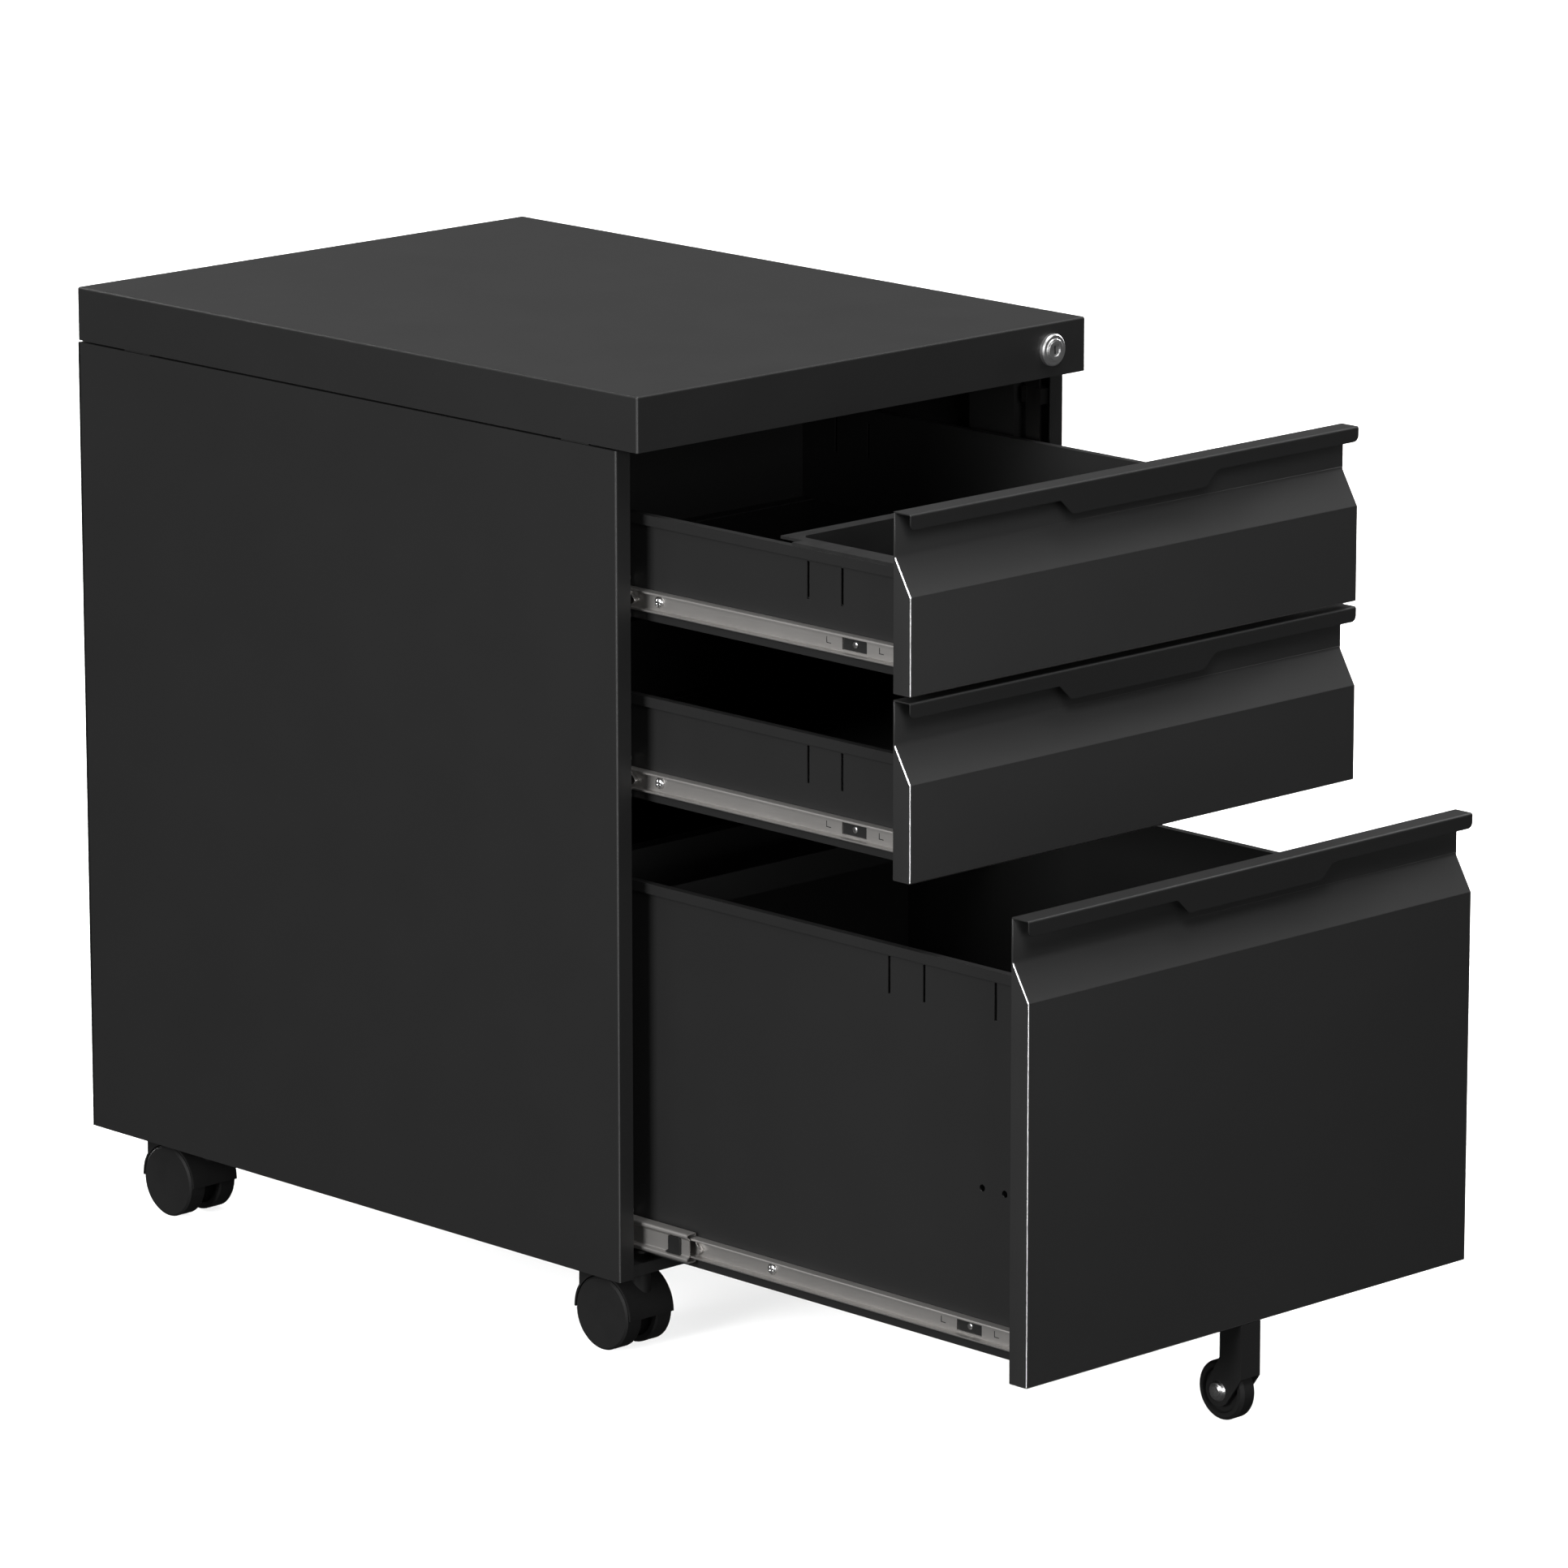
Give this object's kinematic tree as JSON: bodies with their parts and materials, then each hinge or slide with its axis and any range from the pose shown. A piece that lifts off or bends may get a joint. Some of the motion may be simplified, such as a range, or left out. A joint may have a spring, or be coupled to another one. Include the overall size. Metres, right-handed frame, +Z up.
{
  "type": "mobile filing cabinet",
  "caption": "Steel pedestal cabinet on castors with shallow drawers and a deep file drawer, recessed pulls, a cam lock, ball-bearing slides and an anti-tip wheel, drawers standing open.",
  "frame": {"origin": "middle of the footprint on the floor with the drawers standing open in the stored pose", "axes": "+Z up, +X to the right of a person facing the drawers, the drawers open towards -Y"},
  "size_m": [0.39, 0.864, 0.618],
  "materials": {
    "cover_paint": "fine satin powder coat",
    "body_paint": "fine satin powder coat",
    "front_paint": "fine satin powder coat",
    "box_paint": "fine satin powder coat",
    "slide_zinc": "bright zinc plate",
    "lock_chrome": "polished",
    "fastener_steel": "bright zinc plate",
    "black_steel": "blackened",
    "tray_plastic": "moulded",
    "slide_plastic": "moulded",
    "castor_plastic": "moulded",
    "wheel_plastic": "moulded"
  },
  "bodies": {
    "cabinet": {"top_cover": "cover_paint", "side_panel_left": "body_paint", "side_panel_right": "body_paint", "back_panel": "body_paint", "bottom_panel": "body_paint", "cross_rail_front": "body_paint", "cross_rail_rear": "body_paint", "uprights_left": "body_paint", "uprights_right": "body_paint", "drawer_top_outer_slides": "slide_zinc", "drawer_middle_outer_slides": "slide_zinc", "drawer_deep_outer_slides": "slide_zinc", "lock_barrel": "lock_chrome", "lock_bar_guides": "black_steel", "castor_stems": "black_steel"},
    "slide_top": {"drawer_top_middle_slides": "slide_zinc", "drawer_top_retainers": "slide_plastic"},
    "drawer_top": {"drawer_top_front": "front_paint", "drawer_top_box": "box_paint", "drawer_top_back": "box_paint", "drawer_top_inner_slide_left": "slide_zinc", "drawer_top_inner_slide_right": "slide_zinc", "drawer_top_fasteners": "fastener_steel", "pen_tray": "tray_plastic"},
    "slide_middle": {"drawer_middle_middle_slides": "slide_zinc", "drawer_middle_retainers": "slide_plastic"},
    "drawer_middle": {"drawer_middle_front": "front_paint", "drawer_middle_box": "box_paint", "drawer_middle_back": "box_paint", "drawer_middle_inner_slide_left": "slide_zinc", "drawer_middle_inner_slide_right": "slide_zinc", "drawer_middle_fasteners": "fastener_steel"},
    "slide_deep": {"drawer_deep_middle_slides": "slide_zinc", "drawer_deep_retainers": "slide_plastic"},
    "drawer_deep": {"drawer_deep_front": "front_paint", "drawer_deep_box": "box_paint", "drawer_deep_back": "box_paint", "drawer_deep_inner_slide_left": "slide_zinc", "drawer_deep_inner_slide_right": "slide_zinc", "drawer_deep_fasteners": "fastener_steel", "file_rails": "box_paint", "anti_tip_fork": "body_paint", "anti_tip_axle": "fastener_steel"},
    "lock_plug": {"lock_core": "lock_chrome", "lock_cam": "fastener_steel"},
    "lock_bar": {"lock_bar": "black_steel"},
    "anti_tip_roller": {"anti_tip_wheel": "wheel_plastic"},
    "castor_front_left_swivel": {"castor_front_left_hood": "castor_plastic", "castor_front_left_axle": "fastener_steel"},
    "castor_front_left_roller": {"castor_front_left_wheels": "wheel_plastic"},
    "castor_front_right_swivel": {"castor_front_right_hood": "castor_plastic", "castor_front_right_axle": "fastener_steel"},
    "castor_front_right_roller": {"castor_front_right_wheels": "wheel_plastic"},
    "castor_rear_left_swivel": {"castor_rear_left_hood": "castor_plastic", "castor_rear_left_axle": "fastener_steel"},
    "castor_rear_left_roller": {"castor_rear_left_wheels": "wheel_plastic"},
    "castor_rear_right_swivel": {"castor_rear_right_hood": "castor_plastic", "castor_rear_right_axle": "fastener_steel"},
    "castor_rear_right_roller": {"castor_rear_right_wheels": "wheel_plastic"}
  },
  "joints": [
    {"name": "slide_top_extend", "type": "slide", "parent": "cabinet", "child": "slide_top", "axis": [0, -1, 0], "range_m": [0, 0.158]},
    {"name": "drawer_top_pull", "type": "slide", "parent": "slide_top", "child": "drawer_top", "axis": [0, -1, 0], "range_m": [-0.235, 0.057]},
    {"name": "slide_middle_extend", "type": "slide", "parent": "cabinet", "child": "slide_middle", "axis": [0, -1, 0], "range_m": [0, 0.158]},
    {"name": "drawer_middle_pull", "type": "slide", "parent": "slide_middle", "child": "drawer_middle", "axis": [0, -1, 0], "range_m": [-0.235, 0.057]},
    {"name": "slide_deep_extend", "type": "slide", "parent": "cabinet", "child": "slide_deep", "axis": [0, -1, 0], "range_m": [-0.057, 0.101]},
    {"name": "drawer_deep_pull", "type": "slide", "parent": "slide_deep", "child": "drawer_deep", "axis": [0, -1, 0], "range_m": [-0.277, 0.015]},
    {"name": "lock_turn", "type": "hinge", "parent": "cabinet", "child": "lock_plug", "pos_m": [0.164, -0.098, 0.6006], "axis": [0, 1, 0], "range_deg": [0, 90]},
    {"name": "lock_bar_drop", "type": "slide", "parent": "cabinet", "child": "lock_bar", "axis": [0, 0, -1], "range_m": [0, 0.01272]},
    {"name": "castor_front_left_turn", "type": "hinge", "parent": "cabinet", "child": "castor_front_left_swivel", "pos_m": [-0.156, -0.0558, 0.06], "axis": [0, 0, 1], "continuous": true},
    {"name": "castor_front_left_roll", "type": "hinge", "parent": "castor_front_left_swivel", "child": "castor_front_left_roller", "pos_m": [-0.156, -0.0405, 0.0236], "axis": [1, 0, 0], "continuous": true},
    {"name": "castor_front_right_turn", "type": "hinge", "parent": "cabinet", "child": "castor_front_right_swivel", "pos_m": [0.156, -0.0558, 0.06], "axis": [0, 0, 1], "continuous": true},
    {"name": "castor_front_right_roll", "type": "hinge", "parent": "castor_front_right_swivel", "child": "castor_front_right_roller", "pos_m": [0.156, -0.0405, 0.0236], "axis": [1, 0, 0], "continuous": true},
    {"name": "castor_rear_left_turn", "type": "hinge", "parent": "cabinet", "child": "castor_rear_left_swivel", "pos_m": [-0.156, 0.3647, 0.06], "axis": [0, 0, 1], "continuous": true},
    {"name": "castor_rear_left_roll", "type": "hinge", "parent": "castor_rear_left_swivel", "child": "castor_rear_left_roller", "pos_m": [-0.156, 0.38, 0.0236], "axis": [1, 0, 0], "continuous": true},
    {"name": "castor_rear_right_turn", "type": "hinge", "parent": "cabinet", "child": "castor_rear_right_swivel", "pos_m": [0.156, 0.3647, 0.06], "axis": [0, 0, 1], "continuous": true},
    {"name": "castor_rear_right_roll", "type": "hinge", "parent": "castor_rear_right_swivel", "child": "castor_rear_right_roller", "pos_m": [0.156, 0.38, 0.0236], "axis": [1, 0, 0], "continuous": true},
    {"name": "anti_tip_roll", "type": "hinge", "parent": "drawer_deep", "child": "anti_tip_roller", "pos_m": [0, -0.4126, 0.0197], "axis": [1, 0, 0], "continuous": true}
  ],
  "couplings": [
    {"joint": "lock_turn", "follows": "lock_bar_drop", "rad_per_m": 123.41}
  ]
}
